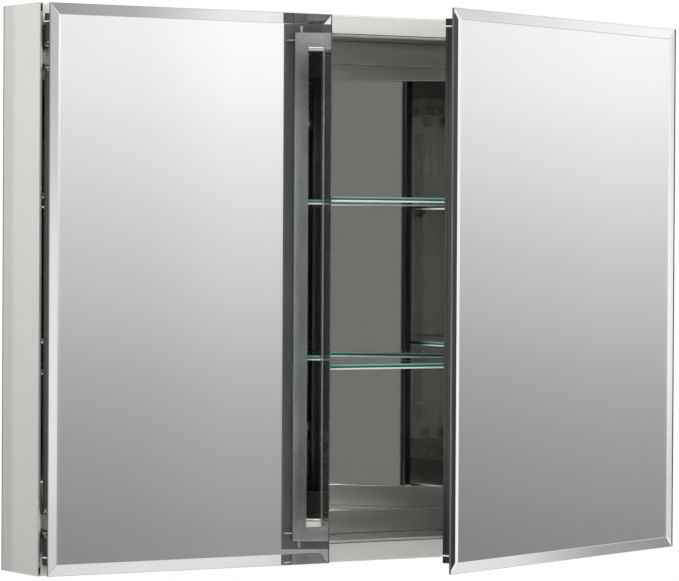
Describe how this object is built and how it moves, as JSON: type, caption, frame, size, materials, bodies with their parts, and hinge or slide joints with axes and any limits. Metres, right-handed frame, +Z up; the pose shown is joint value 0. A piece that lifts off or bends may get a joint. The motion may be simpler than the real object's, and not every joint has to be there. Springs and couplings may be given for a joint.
{
  "type": "medicine cabinet",
  "caption": "Wall-hung aluminium medicine cabinet with a narrow and a wide bevelled mirror door on side hinges, mirrored back and full-width glass shelves.",
  "frame": {"origin": "centre of the wall face", "axes": "+Z up, +Y into the wall, the doors face -Y, +X to the right for someone facing the doors"},
  "size_m": [0.8898, 0.3149, 0.6604],
  "materials": {
    "body_aluminium": "satin clear anodised, fine vertical brushing",
    "clear_plastic": "clear moulded polycarbonate",
    "fastener_steel": "zinc-plated steel",
    "frame_aluminium": "satin anodised extrusion",
    "grey_plastic": "fine moulded texture",
    "nickel_plate": "satin nickel plate",
    "shelf_glass": "clear float glass, polished green edges",
    "silvered_mirror": "silvered glass, polished bevels, painted back",
    "soft_rubber": "soft closed-cell foam and silicone"
  },
  "bodies": {
    "cabinet": {"back_grommets": "grey_plastic", "back_mirror": "silvered_mirror", "back_panel": "body_aluminium", "bottom_shell": "body_aluminium", "bracket_rivets": "fastener_steel", "ceiling_panel": "body_aluminium", "corner_brackets": "body_aluminium", "floor_panel": "body_aluminium", "left_front_shelf_track": "frame_aluminium", "left_hinge_screws": "fastener_steel", "left_lower_hinge_arm": "nickel_plate", "left_lower_hinge_plate": "nickel_plate", "left_rear_shelf_track": "frame_aluminium", "left_side_panel": "body_aluminium", "left_upper_hinge_arm": "nickel_plate", "left_upper_hinge_plate": "nickel_plate", "lower_back_rail": "body_aluminium", "lower_shelf": "shelf_glass", "lower_shelf_clips": "clear_plastic", "right_front_shelf_track": "frame_aluminium", "right_hinge_screws": "fastener_steel", "right_lower_hinge_arm": "nickel_plate", "right_lower_hinge_plate": "nickel_plate", "right_rear_shelf_track": "frame_aluminium", "right_side_panel": "body_aluminium", "right_upper_hinge_arm": "nickel_plate", "right_upper_hinge_plate": "nickel_plate", "top_shell": "body_aluminium", "upper_back_rail": "body_aluminium", "upper_shelf": "shelf_glass", "upper_shelf_clips": "clear_plastic"},
    "left_door": {"left_door_bottom_rail": "frame_aluminium", "left_door_bumpers": "soft_rubber", "left_door_corner_keys": "grey_plastic", "left_door_free_stile": "frame_aluminium", "left_door_glass_clips": "clear_plastic", "left_door_hinge_stile": "frame_aluminium", "left_door_inner_mirror": "silvered_mirror", "left_door_mirror": "silvered_mirror", "left_door_mirror_tape": "soft_rubber", "left_door_top_rail": "frame_aluminium", "left_lower_hinge_cup": "nickel_plate", "left_lower_hinge_pin": "nickel_plate", "left_upper_hinge_cup": "nickel_plate", "left_upper_hinge_pin": "nickel_plate"},
    "right_door": {"right_door_bottom_rail": "frame_aluminium", "right_door_bumpers": "soft_rubber", "right_door_corner_keys": "grey_plastic", "right_door_free_stile": "frame_aluminium", "right_door_glass_clips": "clear_plastic", "right_door_hinge_stile": "frame_aluminium", "right_door_inner_mirror": "silvered_mirror", "right_door_mirror": "silvered_mirror", "right_door_mirror_tape": "soft_rubber", "right_door_top_rail": "frame_aluminium", "right_lower_hinge_cup": "nickel_plate", "right_lower_hinge_pin": "nickel_plate", "right_upper_hinge_cup": "nickel_plate", "right_upper_hinge_pin": "nickel_plate"}
  },
  "joints": [
    {"name": "left_door_hinge", "type": "hinge", "parent": "cabinet", "child": "left_door", "pos_m": [-0.4365, -0.1134, 0], "axis": [0, 0, -1], "range_deg": [0, 108]},
    {"name": "right_door_hinge", "type": "hinge", "parent": "cabinet", "child": "right_door", "pos_m": [0.4365, -0.1134, 0], "axis": [0, 0, 1], "range_deg": [-23, 85]}
  ]
}
